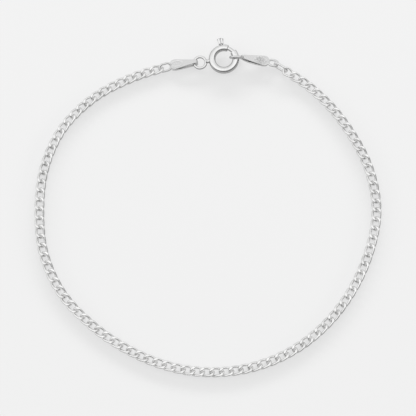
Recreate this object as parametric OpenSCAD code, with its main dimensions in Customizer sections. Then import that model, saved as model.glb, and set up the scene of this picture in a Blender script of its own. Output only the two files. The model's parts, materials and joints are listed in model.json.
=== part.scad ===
// Fine curb link bracelet with a spring ring clasp, laid flat in a closed loop.
// Millimetres. +X runs to the right, +Y to the clasp's side, +Z up from the table.

/* [Chain] */
// Length that one curb link adds to the chain
link_pitch = 1.73; // [1.5:0.01:2.1]
// Number of curb links
link_count = 95; // [70:1:120]
// Width of the hole in a curb link
link_hole_w = 0.94; // [0.8:0.02:1.3]
// Diameter of the wire of a curb link
link_wire_d = 0.44; // [0.3:0.01:0.5]
// Free play between two joined curb links
link_play = 0.16; // [0.13:0.01:0.3]
// Twist from the middle of a curb link to each of its ends, in degrees
link_twist = 45; // [42:1:50]
// Thickness of the chain, whose top and bottom are filed flat
chain_t = 0.94; // [0.8:0.02:1.1]

/* [Spring ring] */
// Outside diameter of the spring ring
ring_od = 5.65;  // [5:0.05:7]
// Diameter of the spring ring's tube
tube_d = 1.25; // [1:0.05:1.4]
// Wall of the tube
tube_wall = 0.17; // [0.12:0.01:0.2]
// Room between the gate wire and the bore of the tube
gate_play = 0.11; // [0.08:0.01:0.14]
// Direction of the tube end that the gate closes on, in degrees
mouth_at = 31; // [25:1:40]
// Width of the mouth between the tube's ends, in degrees
mouth_angle = 33; // [28:1:36]
// How far the gate's tip reaches into the tube, in degrees
gate_grip = 4; // [3:1:6]
// Direction of the knob when the gate is shut, in degrees
knob_at = 92.6; // [88:0.2:100]
// Travel of the knob along its slot, in degrees
gate_travel = 40; // [38:1:46]
// Length of gate wire behind the knob, in degrees
gate_tail = 8; // [6:1:14]
// Diameter of the knob at its outer end
knob_d = 1.22;  // [0.8:0.02:1.3]
// Diameter of the knob at its root
knob_root_d = 0.94; // [0.6:0.02:1]
// Length of the knob
knob_l = 1.1; // [0.9:0.05:1.6]
// Room between the knob and the tube
knob_gap = 0.12; // [0.08:0.01:0.2]
// Diameter of the stem that joins the knob to the gate wire
stem_d = 0.42; // [0.34:0.02:0.48]
// Room between the stem and the edges of its slot
slot_play = 0.08; // [0.06:0.01:0.12]
// Outside diameter of the closed loop soldered to the spring ring
loop_od = 2.7; // [2.4:0.05:3.2]
// Diameter of the soldered loop's wire
loop_wire_d = 0.5; // [0.4:0.02:0.56]
// Length of the soldered neck between the spring ring and its loop
neck_l = 0.33; // [0.2:0.01:0.5]
// Diameter of the soldered neck
neck_d = 0.62; // [0.5:0.02:0.8]

/* [Tabs] */
// Length of the left tab, from the wire in its fold to its round end
left_tab_l = 4.6; // [4.2:0.1:5.6]
// Length of the right tab, from the wire in its fold to its round end
right_tab_l = 5; // [4.2:0.1:5.6]
// Width of a tab at its round end
tab_w = 2; // [1.6:0.02:2.2]
// Width of a tab at its fold
tab_fold_w = 0.7; // [0.6:0.02:0.9]
// Thickness of the strip that the tabs are folded from
strip_t = 0.24; // [0.18:0.01:0.26]
// Room between the left tab's fold and the wire in it
fold_play = 0.21; // [0.17:0.01:0.24]

/* [Small links] */
// Diameter of the wire of the small links
small_wire_d = 0.4; // [0.32:0.01:0.44]
// Free play between two joined small links
small_play = 0.16; // [0.1:0.01:0.2]
// Diameter of the wire of the catch loop that the spring ring hooks
catch_wire_d = 0.45; // [0.36:0.01:0.5]
// Depth of solder between the catch loop and the inside of the right tab's fold
solder_t = 0.05; // [0.03:0.01:0.08]
// Room between the catch loop and the tube
catch_play = 0.14; // [0.1:0.01:0.2]
// Room between the tube and the right tab's fold
tab_gap = 0.32; // [0.2:0.02:0.5]
// Length of the hole in the round link by the right tab
round_hole_l = 1.8; // [1.5:0.02:2]
// Width of the hole in the round link
round_hole_w = 1.08; // [1:0.02:1.3]
// Length of the hole in the upright link
upright_hole_l = 2.2; // [1.7:0.02:2.4]
// Width of the hole in the upright link
upright_hole_w = 0.84; // [0.66:0.02:0.9]
// Length of the hole in the end link soldered to the left tab
left_end_hole_l = 1.78; // [1.4:0.02:2]
// Length of the hole in the end link soldered to the right tab
right_end_hole_l = 1.4; // [1.3:0.02:1.9]
// Width of the hole in each end link
end_hole_w = 0.94; // [0.86:0.02:1.2]

/* [Lay] */
// Direction of the line through the clasp's two loops, in degrees
clasp_dir = 8; // [0:1:14]
// Place of the left tab's fold on the soldered loop, in degrees
fold_at = 182; // [174:1:190]
// Direction of the left tab, in degrees
left_tab_dir = 184.5;  // [180:0.5:194]
// Direction of the end link on the left tab, in degrees
left_end_dir = 196.5;  // [192:0.5:206]
// Direction of the chain where it leaves the left tab, in degrees
left_chain_dir = 197; // [192:1:206]
// Direction of the right tab, in degrees
right_tab_dir = -8; // [-18:1:-4]
// Direction of the end link on the right tab, in degrees
right_end_dir = -13; // [-24:1:-8]
// Direction of the upright link, in degrees
upright_dir = -31.5;  // [-40:0.5:-26]
// Direction of the round link, in degrees
round_dir = -34.5;  // [-44:0.5:-30]
// Direction of the chain where it leaves the round link, in degrees
right_chain_dir = -31.5;  // [-44:0.5:-30]
// Place of the middle of the clasp round the loop, clockwise from +Y, in degrees
clasp_at = 6.9; // [3:0.1:9]

/* [Hidden] */
$fn = 64;

// The loop isn't a true circle. Its radius at equal angles, clockwise from +Y, is given as
// shares of the mean radius, which a fit to the photo gave.
ROUTE = [0.963, 0.987, 1.004, 0.997, 0.994, 1.006, 1.011, 0.994, 0.985, 0.986, 0.99, 0.99,
         0.986, 0.979, 0.976, 0.988, 1.013, 1.023, 1.02, 1.031, 1.031, 1.005, 0.97, 0.951];
// Roll of each small piece about the line of the chain, in degrees
LEFT_TAB_ROLL = 8;
RIGHT_TAB_ROLL = -8;
LEFT_END_ROLL = -26;
RIGHT_END_ROLL = -18;
UPRIGHT_ROLL = 74;
CATCH_ROLL = 103;
// Twist of the round link at its two ends, in degrees
ROUND_START = 12;
ROUND_TWIST = -46;

// Shape of a meshed link: stations round it, and sides of its wire
LINK_STATIONS = 12;
WIRE_SIDES = 6;

function heading(a) = [cos(a), sin(a), 0];
function turn(p, a) = [p.x * cos(a) - p.y * sin(a), p.x * sin(a) + p.y * cos(a), p.z];
function unit(v) = v / norm(v);
function direction(v) = atan2(v.y, v.x);
function raised(p, z) = [p.x, p.y, z];

// Meshed link: a flat oval wire loop of the given half-length and half-width, twisted about
// its length from one angle at its -X end to another at its +X end
end_stations = LINK_STATIONS / 2;
function flat_loop(a, b) = [for (end = [0, 1], i = [0:end_stations - 1])
    let (t = 180 * (end + i / (end_stations - 1)) - 90)
    [(1 - 2 * end) * (a - b) + b * cos(t), b * sin(t)]];
function twisted_wire(a, b, wire, start, finish) =
    let (
        loop = flat_loop(a, b),
        turns = [for (p = loop) start + (finish - start) * (p.x + a) / (2 * a)],
        line = [for (i = [0:LINK_STATIONS - 1])
            [loop[i].x, loop[i].y * cos(turns[i]), loop[i].y * sin(turns[i])]]
    )
    [for (i = [0:LINK_STATIONS - 1])
        let (
            along = unit(line[(i + 1) % LINK_STATIONS]
                         - line[(i + LINK_STATIONS - 1) % LINK_STATIONS]),
            side = unit(cross([0, -sin(turns[i]), cos(turns[i])], along)),
            over = cross(along, side)
        )
        for (j = [0:WIRE_SIDES - 1])
            let (g = 360 * j / WIRE_SIDES)
            line[i] + wire / 2 * (cos(g) * side + sin(g) * over)];
link_faces = [for (i = [0:LINK_STATIONS - 1], j = [0:WIRE_SIDES - 1])
    let (
        near = i * WIRE_SIDES,
        far = ((i + 1) % LINK_STATIONS) * WIRE_SIDES,
        next = (j + 1) % WIRE_SIDES
    )
    each [[near + j, far + next, near + next], [near + j, far + j, far + next]]];

// Curb link, with its top and bottom filed flat
link_a = (link_pitch + link_wire_d + link_play) / 2;
link_b = (link_hole_w + link_wire_d) / 2;
link_points = [for (p = twisted_wire(link_a, link_b, link_wire_d, link_twist, -link_twist))
    [p.x, p.y, max(-chain_t / 2, min(chain_t / 2, p.z))]];

// Small oval links: centre line half-length and half-width from the hole
function line_half(hole) = (hole + small_wire_d) / 2;
round_a = line_half(round_hole_l);
round_b = line_half(round_hole_w);
upright_a = line_half(upright_hole_l);
upright_b = line_half(upright_hole_w);
left_end_a = line_half(left_end_hole_l);
right_end_a = line_half(right_end_hole_l);
end_b = line_half(end_hole_w);

// Clasp, in its own frame: the spring ring's centre is the origin, its loop lies to -X
ring_r = (ring_od - tube_d) / 2;
bore_d = tube_d - 2 * tube_wall;
gate_d = bore_d - 2 * gate_play;
mouth_end = mouth_at + mouth_angle;
gate_from = mouth_at - gate_grip;
knob_from = ring_od / 2 + knob_gap;
slot_w = stem_d + 2 * slot_play;
slot_margin = asin(slot_w / (2 * ring_r + bore_d));
loop_r = (loop_od - loop_wire_d) / 2;
loop_x = -(ring_od + loop_od) / 2 - neck_l;
fold_in_r = loop_wire_d / 2 + fold_play;
fold_out_r = fold_in_r + strip_t;
catch_b = (tube_d + catch_wire_d) / 2 + catch_play;
seat_r = catch_wire_d / 2 - solder_t;
catch_far_x = tube_d / 2 + tab_gap + strip_t + seat_r;
catch_a = (catch_b + catch_far_x) / 2;
catch_out = catch_b * abs(sin(CATCH_ROLL)) + catch_wire_d / 2;

// The wire bows inside the fold, so the fold's middle lies at half of that bow
fold_bow = loop_r - sqrt(pow(loop_r, 2) - pow(tab_fold_w / 2, 2));
fold_r = loop_r - fold_bow / 2;

// The catch loop and the left tab's fold both rest on the table, so the clasp leans
fold_x = loop_x + fold_r * cos(fold_at - clasp_dir);
fold_z = fold_out_r * cos(LEFT_TAB_ROLL) + tab_fold_w / 2 * sin(LEFT_TAB_ROLL);
clasp_tilt = asin((catch_out - fold_z) / (ring_r - fold_x));
clasp_z = catch_out - ring_r * sin(clasp_tilt);

// Places along the clasp's line, before it is joined to the chain. The spring ring's centre
// is the origin in plan, and heights are true.
function clasp_point(p) = raised(turn([p.x * cos(clasp_tilt), p.y, 0], clasp_dir),
                                 clasp_z + p.x * sin(clasp_tilt));
fold_place = clasp_point([fold_x, fold_r * sin(fold_at - clasp_dir), 0]);
left_tab_far = left_tab_l - tab_w / 2;
left_end_z = end_b * abs(sin(LEFT_END_ROLL)) + small_wire_d / 2;
left_round = raised(fold_place + left_tab_far * heading(left_tab_dir), left_end_z);
left_end = left_round + (tab_w / 2 + left_end_a - small_wire_d / 2) * heading(left_end_dir);
left_last = left_end + (left_end_hole_l / 2 + link_a - link_wire_d / 2 - link_play)
            * heading(left_chain_dir);

// The upright link stands on the table, and the links through it lie over its lower wire
over_z = 1.5 * small_wire_d + small_play;
round_low_z = (chain_t + small_play) / 2;
round_pitch = asin((over_z - round_low_z) / (2 * round_a));
catch_place = clasp_point([ring_r, 0, 0]);
catch_dir = (clasp_dir + right_tab_dir) / 2;
catch_far = catch_place + catch_far_x * heading(catch_dir);
right_tab_far = right_tab_l - tab_w / 2;
right_round = raised(catch_far + right_tab_far * heading(right_tab_dir), over_z);
right_end = right_round + (tab_w / 2 + right_end_a - small_wire_d / 2) * heading(right_end_dir);
upright_z = upright_b * abs(sin(UPRIGHT_ROLL)) + small_wire_d / 2;
upright_place = raised(right_end + ((right_end_hole_l + upright_hole_l) / 2 - small_play)
                * heading(upright_dir), upright_z);
round_place = raised(upright_place + ((upright_hole_l + round_hole_l) / 2 - small_play)
              * heading(round_dir), (over_z + round_low_z) / 2);
right_last = round_place + (round_hole_l / 2 + link_a - link_wire_d / 2 - link_play)
             * heading(right_chain_dir);

// Chain's route: a smooth closed curve through the shares, of mean radius 1
ROUTE_STEPS = 360;
function share(i) = ROUTE[(i + len(ROUTE)) % len(ROUTE)];
function blend(a, b, c, d, u) =
    (2 * b + (c - a) * u + (2 * a - 5 * b + 4 * c - d) * u * u
     + (3 * b - a - 3 * c + d) * u * u * u) / 2;
function radius_at(angle) =
    let (t = angle * len(ROUTE) / 360, i = floor(t))
    blend(share(i - 1), share(i), share(i + 1), share(i + 2), t - i);
route = [for (i = [0:2 * ROUTE_STEPS])
    let (angle = 360 * i / ROUTE_STEPS)
    radius_at(angle % 360) * [sin(angle), cos(angle), 0]];
route_run = [for (i = 0, run = 0; i <= 2 * ROUTE_STEPS;
    run = run + (i < 2 * ROUTE_STEPS ? norm(route[i + 1] - route[i]) : 0), i = i + 1) run];
route_x = [for (i = [0:2 * ROUTE_STEPS]) [route_run[i], route[i].x]];
route_y = [for (i = [0:2 * ROUTE_STEPS]) [route_run[i], route[i].y]];
function route_at(run) = [lookup(run, route_x), lookup(run, route_y), 0];
round_trip = route_run[ROUTE_STEPS];

// The curb links fill the route except for a gap that the clasp's line just closes. The gap's
// half, as a run along the route, is found by halving its limits.
chain_run = (link_count - 1) * link_pitch;
clasp_span = raised(right_last - left_last, 0);
gap_middle = round_trip + lookup(clasp_at, [for (i = [0:ROUTE_STEPS])
    [360 * i / ROUTE_STEPS, route_run[i]]]);
function gap_chord(half) = route_at(gap_middle + half) - route_at(gap_middle - half);
function gap_half(low, high, turns) =
    let (half = (low + high) / 2)
    turns == 0 ? half
    : norm(gap_chord(half)) * chain_run > norm(clasp_span) * (round_trip - 2 * half)
        ? gap_half(low, half, turns - 1)
        : gap_half(half, high, turns - 1);
HALVINGS = 30;
half_gap = gap_half(0, round_trip / 4, HALVINGS);
route_scale = chain_run / (round_trip - 2 * half_gap);

function chain_place(i) =
    let (run = half_gap + i * link_pitch / route_scale)
    route_scale * route_at(run + gap_middle - (run + gap_middle > 2 * round_trip ? round_trip : 0));
chain_places = [for (i = [-1:link_count]) chain_place(i)];
function link_place(i) = chain_places[i + 1];
function link_dir(i) = direction(chain_places[i + 2] - chain_places[i]);

// The clasp's line is turned and moved so that its ends meet the chain's ends
clasp_turn = direction(link_place(0) - link_place(link_count - 1)) - direction(clasp_span);
clasp_shift = link_place(0) - raised(turn(right_last, clasp_turn), 0);

// Origin: the middle of the whole bracelet's outline, on the table
link_corners = [for (i = [0:link_count - 1], p = link_points)
    link_place(i) + turn(raised(p, 0), link_dir(i))];
knob_end = knob_from + knob_l;
knob_top = clasp_shift + turn(clasp_point(knob_end * heading(knob_at)), clasp_turn);
knob_rise = knob_d / 2 * abs(sin(clasp_dir + clasp_turn + knob_at - 90));
origin = [(min([for (p = link_corners) p.x]) + max([for (p = link_corners) p.x])) / 2,
          (min([for (p = link_corners) p.y]) + knob_top.y + knob_rise) / 2, 0];

// A piece on the clasp's line, at a place and a direction, pitched down and rolled
module on_line(place, dir, pitch = 0, roll = 0)
    translate(clasp_shift - origin)
        rotate([0, 0, clasp_turn])
            translate(place)
                rotate([0, 0, dir])
                    rotate([0, pitch, 0])
                        rotate([roll, 0, 0])
                            children();

module on_clasp()
    on_line([0, 0, clasp_z], clasp_dir, -clasp_tilt)
        children();

module wire_ring(radius, wire)
    rotate_extrude()
        translate([radius, 0])
            circle(d = wire);

// A flat oval of wire along X: two half rings and two straights
module oval_link(half_l, half_w, wire)
    for (end = [0, 180])
        rotate([0, 0, end]) {
            translate([half_l - half_w, 0, 0])
                rotate([0, 0, -90])
                    rotate_extrude(angle = 180)
                        translate([half_w, 0])
                            circle(d = wire);
            translate([half_w - half_l, half_w, 0])
                rotate([0, 90, 0])
                    cylinder(h = 2 * (half_l - half_w), d = wire);
        }

// Side of a tab, in X and Z: a strip folded round a wire, its halves meeting at the far end
module tab_side(in_r, far, tip) {
    out_r = in_r + strip_t;
    lean = 90 - atan2(strip_t, far) - acos(out_r / norm([far, strip_t]));
    meet = in_r / sin(lean);
    difference() {
        union() {
            circle(r = out_r);
            polygon([out_r * [sin(lean), cos(lean)], [far, strip_t], [tip, strip_t],
                     [tip, -strip_t], [far, -strip_t], out_r * [sin(lean), -cos(lean)]]);
        }
        circle(r = in_r);
        polygon([in_r * [sin(lean), cos(lean)], [meet, 0], in_r * [sin(lean), -cos(lean)]]);
    }
}

// Outline of a tab from above: narrow at the fold, round at the far end
module tab_outline(back, far) {
    lean = atan2(tab_fold_w / 2, far) + acos(tab_w / 2 / norm([far, tab_fold_w / 2]));
    touch = [far - tab_w / 2 * cos(lean), tab_w / 2 * sin(lean)];
    translate([far, 0])
        circle(d = tab_w);
    polygon([[-back, tab_fold_w / 2], [0, tab_fold_w / 2], touch, [far, 0],
             [touch.x, -touch.y], [0, -tab_fold_w / 2], [-back, -tab_fold_w / 2]]);
}

module folded_tab(in_r, far) {
    deep = 2 * (in_r + strip_t);
    intersection() {
        rotate([90, 0, 0])
            linear_extrude(height = tab_w, center = true)
                tab_side(in_r, far, far + tab_w / 2);
        linear_extrude(height = deep, center = true)
            tab_outline(deep, far);
    }
}

module spring_ring()
    color("silver")
        on_clasp() {
            difference() {
                rotate([0, 0, mouth_end])
                    rotate_extrude(angle = 360 - mouth_angle)
                        translate([ring_r, 0])
                            difference() {
                                circle(d = tube_d);
                                circle(d = bore_d);
                            }
                rotate([0, 0, knob_at - slot_margin])
                    rotate_extrude(angle = gate_travel + 2 * slot_margin)
                        translate([ring_r, -slot_w / 2])
                            square([tube_d, slot_w]);
            }
            translate([loop_x, 0, 0])
                wire_ring(loop_r, loop_wire_d);
            translate([-ring_od / 2 - neck_l - loop_wire_d / 2, 0, 0])
                rotate([0, 90, 0])
                    cylinder(h = neck_l + (loop_wire_d + tube_wall) / 2, d = neck_d);
        }

module trigger()
    color("gainsboro")
        on_clasp() {
            rotate([0, 0, gate_from])
                rotate_extrude(angle = knob_at + gate_tail - gate_from)
                    translate([ring_r, 0])
                        circle(d = gate_d);
            rotate([0, 0, knob_at]) {
                translate([ring_r, 0, 0])
                    rotate([0, 90, 0])
                        cylinder(h = knob_from - ring_r + knob_gap, d = stem_d);
                translate([knob_from, 0, 0])
                    rotate([0, 90, 0])
                        cylinder(h = knob_l, d1 = knob_root_d, d2 = knob_d);
            }
        }

module left_tab()
    color("lightgray") {
        on_line(fold_place, left_tab_dir,
                asin((fold_place.z - left_end_z) / left_tab_far), LEFT_TAB_ROLL)
            folded_tab(fold_in_r, left_tab_far);
        on_line(left_end, left_end_dir, 0, LEFT_END_ROLL)
            oval_link(left_end_a, end_b, small_wire_d);
    }

// The right tab's fold is soldered to an upright loop that the spring ring hooks
module right_tab()
    color("lightgray") {
        on_line(catch_place, catch_dir, 0, CATCH_ROLL)
            translate([catch_far_x - catch_a, 0, 0])
                oval_link(catch_a, catch_b, catch_wire_d);
        on_line(catch_far, right_tab_dir,
                asin((catch_far.z - over_z) / right_tab_far), RIGHT_TAB_ROLL)
            folded_tab(seat_r, right_tab_far);
        on_line(right_end, right_end_dir, 0, RIGHT_END_ROLL)
            oval_link(right_end_a, end_b, small_wire_d);
    }

module upright_link()
    color("silver")
        on_line(upright_place, upright_dir, 0, UPRIGHT_ROLL)
            oval_link(upright_a, upright_b, small_wire_d);

module round_link()
    color("gainsboro")
        on_line(round_place, round_dir, round_pitch)
            polyhedron(points = twisted_wire(round_a, round_b, small_wire_d,
                                             ROUND_START, ROUND_TWIST),
                       faces = link_faces);

module curb_links(first, last)
    for (i = [first:last])
        translate(link_place(i) - origin + [0, 0, chain_t / 2])
            rotate([0, 0, link_dir(i)])
                polyhedron(points = link_points, faces = link_faces);

half_count = floor(link_count / 2);

module chain_right()
    color("silver")
        curb_links(0, half_count - 1);

module chain_left()
    color("gainsboro")
        curb_links(half_count, link_count - 1);

spring_ring();
trigger();
left_tab();
right_tab();
upright_link();
round_link();
chain_right();
chain_left();
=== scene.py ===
"""Fine silver curb chain bracelet with a spring ring clasp, laid in a closed loop on a pale floor."""

import json
from math import acos, asin, atan2, cos, exp, hypot, pi, radians, sin, sqrt

import bmesh
import bpy
import numpy as np
from mathutils import Matrix, Vector


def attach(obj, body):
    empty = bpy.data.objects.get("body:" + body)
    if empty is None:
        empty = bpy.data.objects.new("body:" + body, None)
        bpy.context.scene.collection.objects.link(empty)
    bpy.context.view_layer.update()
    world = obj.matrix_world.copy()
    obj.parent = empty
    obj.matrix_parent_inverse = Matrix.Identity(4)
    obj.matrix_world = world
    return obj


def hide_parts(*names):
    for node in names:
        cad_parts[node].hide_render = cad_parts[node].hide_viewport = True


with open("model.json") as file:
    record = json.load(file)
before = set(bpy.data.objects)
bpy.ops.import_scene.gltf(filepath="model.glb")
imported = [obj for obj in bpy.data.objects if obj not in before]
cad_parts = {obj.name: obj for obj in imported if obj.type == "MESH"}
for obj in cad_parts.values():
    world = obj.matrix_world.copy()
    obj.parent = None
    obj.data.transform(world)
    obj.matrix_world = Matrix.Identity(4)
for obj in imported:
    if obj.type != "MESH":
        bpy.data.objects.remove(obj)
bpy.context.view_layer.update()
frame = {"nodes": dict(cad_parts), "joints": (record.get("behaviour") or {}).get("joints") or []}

bl_info = {
    "name": "Curb chain bracelet",
    "version": (1, 0, 0),
    "blender": (4, 5, 0),
    "location": "View3D > Sidebar > Bracelet",
    "description": "Builds a fine curb chain bracelet with a spring ring clasp",
    "category": "Add Mesh",
}

MM = 0.001
ROOT_BODY = "bracelet"
GATE_BODY = "trigger"

# Points closer than this are one, and edges sharper than this stay sharp
WELD = 0.0005 * MM
SHARP_EDGE = radians(38)

# How far the neck reaches into the loop's wire, as a share of its diameter, and the least squared
# share of the slot cutter's width at its tips
NECK_REACH = 0.45
SLOT_TIP = 0.004

# The knob's rounded root and end: the distance from each in millimetres, and the shares of the
# radius and of the ribs' depth there. Then how much shorter its flank is than the knob, the power
# by which the flank widens, and the power that makes the hollows between its ribs broad.
KNOB_ROOT = ((0.0, 0.8, 0.0), (0.03, 0.93, 0.2), (0.09, 1.0, 0.6))
KNOB_END = ((0.1, 1.0, 0.7), (0.05, 0.96, 0.35), (0.015, 0.86, 0.1), (0.0, 0.7, 0.0))
FLANK_SHORT = 0.21
KNOB_FLARE = 1.5
RIB_POWER = 0.8

# A tab's least half-width in millimetres, the most that its edges round off as shares of its
# half-width and half-thickness, and the share of its thickness, from its middle, past which a
# point lies on its outer face
TIP_HALF_W = 0.03
EDGE_SHARE_W = 0.6
EDGE_SHARE_T = 0.8
OUTER_FACE = 1 / 2.01
# Below 1, the bow of a tab's lower plate is widest near the fold
BOW_LEAN = 0.7

# The pressed oval: its half-length and half-width as shares of the tab's width, its groove's width
# and its field's edge and blur as shares of the oval, and the field's share of the depth
OVAL_HALF_L = 0.52
OVAL_HALF_W = 0.3
GROOVE_W = 0.14
FIELD_EDGE = 0.9
FIELD_BLUR = 0.05
FIELD_SHARE = 0.4

# Noises of the silver: their scales, the ranges in which they fade in, and their weights. Filed
# flats face up or down. The relief turns the heights into bumps.
PATCH_SCALE = 420.0
PATCH_RANGE = (0.42, 0.7)
PATCH_TONE = 0.6
GRAIN_SCALE = 5200.0
GRAIN_TONE = 0.2
GRAIN_ROUGHNESS = 0.06
GRAIN_HEIGHT = 0.4
HAIRLINE_STRETCH = (1.0, 5.0, 1.0)
HAIRLINE_SCALE = 3800.0
HAIRLINE_HEIGHT = 0.6
FILED_RANGE = (0.985, 0.999)
FILED_ROUGHNESS = 0.1
FILED_SCALE = 9000.0
FILED_HEIGHT = 0.5
RELIEF_STRENGTH = 0.12
RELIEF_DEPTH = 0.02 * MM

# How far up a surface faces where the painted shade on the flanks fades out, and the tarnish in the
# ovals
FLANK_RANGE = (0.3, 0.97)
TARNISH_REACH = (0.4 * MM, 1.5 * MM)
TARNISH_SCALE = 6500.0
TARNISH_RANGE = (0.36, 0.62)

# The sky: how its dome and walls lean to the left and the back, the ranges in which they fade in,
# how much the dome dims behind, and the brightness of the walls
DOME_LEFT = 0.3
DOME_BACK = 0.65
DOME_RANGE = (0.26, 0.56)
DIM_RANGE = (0.15, 0.75)
DIM_SHARE = 0.25
WALL_LEFT = 0.3
WALL_BACK = 0.9
WALL_RANGE = (-0.25, 0.95)
WALL_LIGHT = 1.1
WALL_BASE = 0.2


def length(name, description, mm):
    """A property that holds a size, whose default is given in millimetres."""
    return bpy.props.FloatProperty(
        name=name, description=description, default=mm * MM, min=0, precision=6, unit="LENGTH"
    )


def angle(name, description, degrees):
    """A property that holds an angle, whose default is given in degrees."""
    return bpy.props.FloatProperty(
        name=name, description=description, default=radians(degrees), subtype="ANGLE"
    )


def colour(name, description, value):
    """A property that holds a linear colour."""
    return bpy.props.FloatVectorProperty(
        name=name, description=description, default=value, min=0, max=1, subtype="COLOR"
    )


def number(name, description, value):
    """A property that holds a plain number."""
    return bpy.props.FloatProperty(name=name, description=description, default=value)


def whole_number(name, description, value):
    """A property that holds a whole number."""
    return bpy.props.IntProperty(name=name, description=description, default=value, min=1)


def position(name, description, metres):
    """A property that holds a place in metres."""
    return bpy.props.FloatVectorProperty(
        name=name, description=description, default=metres, subtype="TRANSLATION"
    )


class ChainSizes(bpy.types.PropertyGroup):
    """Sizes of one curb link."""

    pitch: length("Pitch", "Length that one curb link adds to the chain", 1.73)
    hole_w: length("Hole width", "Width of the hole in a curb link", 0.94)
    wire_d: length("Wire", "Diameter of the wire of a curb link", 0.44)
    play: length("Play", "Free play between two joined curb links", 0.16)
    twist: angle("Twist", "Twist from the middle of a link to each of its ends", 45)
    thickness: length("Thickness", "Thickness of the chain, filed flat above and below", 0.94)
    edge: length("Filed edge", "Width of the worn edge round a filed flat", 0.012)
    stations: whole_number("Stations", "Rings round a link", 56)
    sides: whole_number("Sides", "Sides of a link's wire", 18)


class ClaspSizes(bpy.types.PropertyGroup):
    """Sizes of the spring ring and its trigger."""

    ring_od: length("Ring", "Outside diameter of the spring ring", 5.65)
    tube_d: length("Tube", "Diameter of the spring ring's tube", 1.25)
    tube_wall: length("Tube wall", "Wall of the tube", 0.17)
    gate_play: length("Gate play", "Room between the gate wire and the bore", 0.11)
    mouth_at: angle("Mouth", "Direction of the tube end that the gate closes on", 31)
    mouth_angle: angle("Mouth angle", "Width of the mouth between the tube's ends", 33)
    gate_grip: angle("Gate grip", "How far the gate's tip reaches into the tube", 4)
    knob_at: angle("Knob", "Direction of the knob when the gate is shut", 92.6)
    gate_travel: angle("Travel", "Travel of the knob along its slot", 40)
    gate_tail: angle("Gate tail", "Length of gate wire behind the knob", 8)
    knob_d: length("Knob", "Diameter of the knob at its outer end", 1.22)
    knob_root_d: length("Knob root", "Diameter of the knob at its root", 0.94)
    knob_l: length("Knob length", "Length of the knob", 1.1)
    knob_gap: length("Knob gap", "Room between the knob and the tube", 0.12)
    knob_ribs: whole_number("Ribs", "Ribs round the knob", 8)
    rib_depth: length("Rib depth", "Depth of the hollows between the knob's ribs", 0.15)
    stem_d: length("Stem", "Diameter of the knob's stem", 0.42)
    stem_reach: length("Stem reach", "How far the stem reaches into the knob", 0.2)
    slot_play: length("Slot play", "Room between the stem and the edges of its slot", 0.08)
    loop_od: length("Loop", "Outside diameter of the soldered loop", 2.7)
    loop_wire_d: length("Loop wire", "Diameter of the soldered loop's wire", 0.5)
    neck_l: length("Neck", "Length of the neck between the ring and its loop", 0.33)
    neck_d: length("Neck diameter", "Diameter of the neck", 0.66)
    neck_stop: length("Neck stop", "From the bore to the neck's end in the tube's wall", 0.03)
    fillet: length("Solder", "Swell of the solder at each end of the neck", 0.13)
    lip: length("Lip", "Rounding of the tube's open ends", 0.05)
    direction: angle("Direction", "Direction of the line through the clasp's loops", 8)


class TabSizes(bpy.types.PropertyGroup):
    """Sizes and lay of the two tabs and their end links."""

    left_l: length("Left length", "From the wire in the left fold to the round end", 4.6)
    right_l: length("Right length", "From the wire in the right fold to the round end", 5.0)
    width: length("Width", "Width at the round end", 2.0)
    fold_w: length("Fold width", "Width at the fold", 0.7)
    strip_t: length("Strip", "Thickness of the folded strip", 0.24)
    fold_play: length("Fold play", "Room between the left fold and the wire in it", 0.21)
    seam: length("Seam", "Gap between the two plates where they meet", 0.012)
    edge: length("Edge", "Rounding of the strip's edges", 0.06)
    press: length("Press", "Depth of the pressed oval", 0.03)
    left_press: length("Left press", "From the left oval's middle to the round end's centre", 0.3)
    right_press: length("Right press", "From the right oval's middle to the round end's centre", 0.7)
    dot_pitch: length("Dot pitch", "Spacing of the punched dots in the oval", 0.5)
    left_dots: length("Left dots", "Depth of the left tab's punched dots", 0.012)
    right_dots: length("Right dots", "Depth of the right tab's punched dots", 0.1)
    left_tarnish: number("Left tarnish", "Share of tarnish in the left tab's oval", 0.12)
    right_tarnish: number("Right tarnish", "Share of tarnish in the right tab's oval", 1.0)
    skew: length("Skew", "How far the left tab's lower plate lies off at its round end", 0.16)
    bow: length("Bow", "How far the right tab's lower plate lies off near its fold", 0.24)
    end_hole_w: length("End hole width", "Width of the hole in each end link", 0.94)
    left_hole_l: length("Left end hole", "Length of the left end link's hole", 1.78)
    right_hole_l: length("Right end hole", "Length of the right end link's hole", 1.4)
    gap: length("Gap", "Room between the tube and the right tab's fold", 0.32)
    solder: length("Solder", "Depth of solder between the catch loop and the right fold", 0.05)
    fold_at: angle("Fold place", "Place of the left fold on the soldered loop", 182)
    left_dir: angle("Left direction", "Direction of the left tab", 184.5)
    left_end_dir: angle("Left end direction", "Direction of the left end link", 196.5)
    right_dir: angle("Right direction", "Direction of the right tab", -8)
    right_end_dir: angle("Right end direction", "Direction of the right end link", -13)
    left_roll: angle("Left roll", "Roll of the left tab", 8)
    right_roll: angle("Right roll", "Roll of the right tab", -8)
    left_end_roll: angle("Left end roll", "Roll of the left end link", -26)
    right_end_roll: angle("Right end roll", "Roll of the right end link", -18)
    catch_roll: angle("Catch roll", "Roll of the catch loop", 103)


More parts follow.
